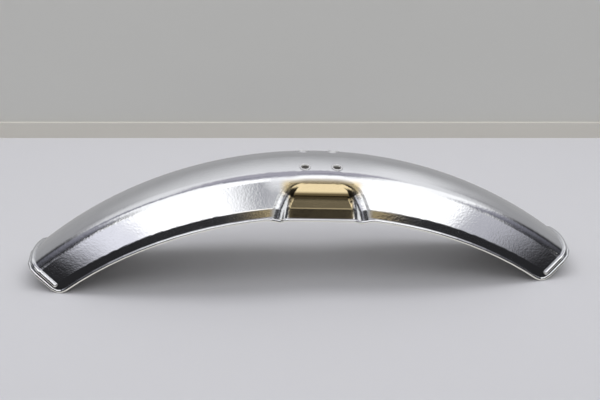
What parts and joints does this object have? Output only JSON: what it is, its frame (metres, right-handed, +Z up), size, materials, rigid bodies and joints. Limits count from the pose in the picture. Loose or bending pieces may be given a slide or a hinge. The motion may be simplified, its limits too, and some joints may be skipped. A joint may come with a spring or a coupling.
{
  "type": "motorcycle front mudguard",
  "caption": "Arched pressed-metal front mudguard with a recess for the fork leg on each side, beaded ends, a rolled edge and bolt holes in the crown.",
  "frame": {"origin": "middle of the guard's box, on the floor it rests on", "axes": "+X along the guard, towards the end nearer the bolt holes; +Y across it; +Z up, away from the wheel"},
  "size_m": [0.446, 0.0938, 0.0983],
  "materials": {
    "polished_metal": "polished, with a fine grain"
  },
  "bodies": {
    "root": {"mudguard": "polished_metal"}
  },
  "joints": []
}
